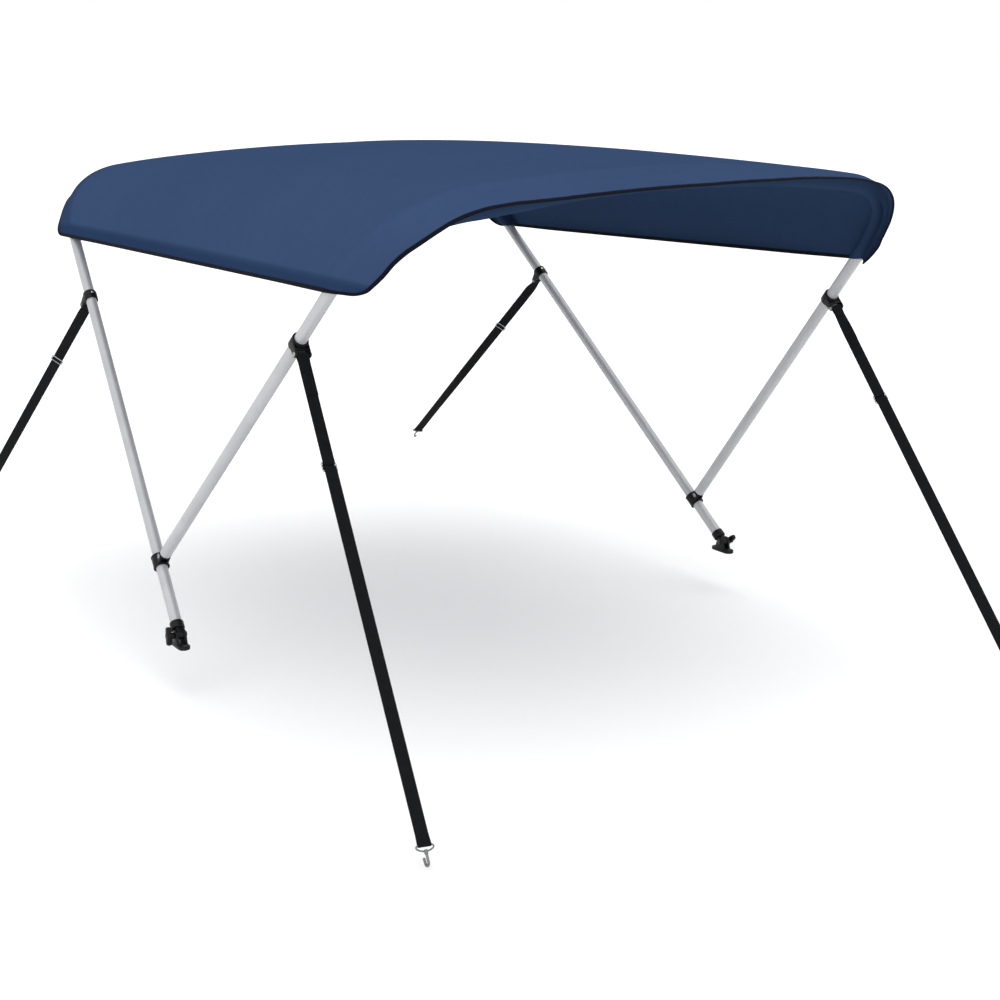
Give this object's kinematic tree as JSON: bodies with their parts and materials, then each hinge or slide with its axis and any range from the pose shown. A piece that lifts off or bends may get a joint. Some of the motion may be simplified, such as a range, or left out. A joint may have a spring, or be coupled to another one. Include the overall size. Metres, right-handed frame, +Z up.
{
  "type": "bimini top with two-bow tube frame",
  "caption": "Boat sun canopy in canvas with dark bound edges, stretched over a folding tube frame with deck hinges and webbing tie-down straps.",
  "frame": {"origin": "on the deck, midway between the two deck hinges", "axes": "+Z up, +Y towards the rear bow's side, +X towards the right hinge as seen from the front"},
  "size_m": [1.5292, 2.6071, 1.1343],
  "materials": {
    "canvas": "matt, fine weave",
    "binding": "matt",
    "aluminium": "satin",
    "nylon": "fine grain",
    "webbing": "matt, ribbed weave",
    "stainless": "satin",
    "wire": "satin"
  },
  "bodies": {
    "root": {"canopy": "canvas", "edge_binding": "binding", "rear_sleeve": "canvas", "front_sleeve": "canvas", "main_bow": "aluminium", "second_bow": "aluminium", "deck_hinge_left": "nylon", "hinge_bolt_left": "stainless", "hinge_knob_left": "nylon", "leg_end_left": "nylon", "jaw_slide_left": "nylon", "jaw_bolt_left": "stainless", "bow_end_left": "nylon", "deck_hinge_right": "nylon", "hinge_bolt_right": "stainless", "hinge_knob_right": "nylon", "leg_end_right": "nylon", "jaw_slide_right": "nylon", "jaw_bolt_right": "stainless", "bow_end_right": "nylon", "strap_clamp_front_left": "nylon", "clamp_bolt_front_left": "stainless", "strap_front_left": "webbing", "strap_slider_front_left": "wire", "strap_hook_front_left": "wire", "strap_clamp_front_right": "nylon", "clamp_bolt_front_right": "stainless", "strap_front_right": "webbing", "strap_slider_front_right": "wire", "strap_hook_front_right": "wire", "strap_clamp_rear_left": "nylon", "clamp_bolt_rear_left": "stainless", "strap_rear_left": "webbing", "strap_slider_rear_left": "wire", "strap_hook_rear_left": "wire", "strap_clamp_rear_right": "nylon", "clamp_bolt_rear_right": "stainless", "strap_rear_right": "webbing", "strap_slider_rear_right": "wire", "strap_hook_rear_right": "wire"}
  },
  "joints": []
}
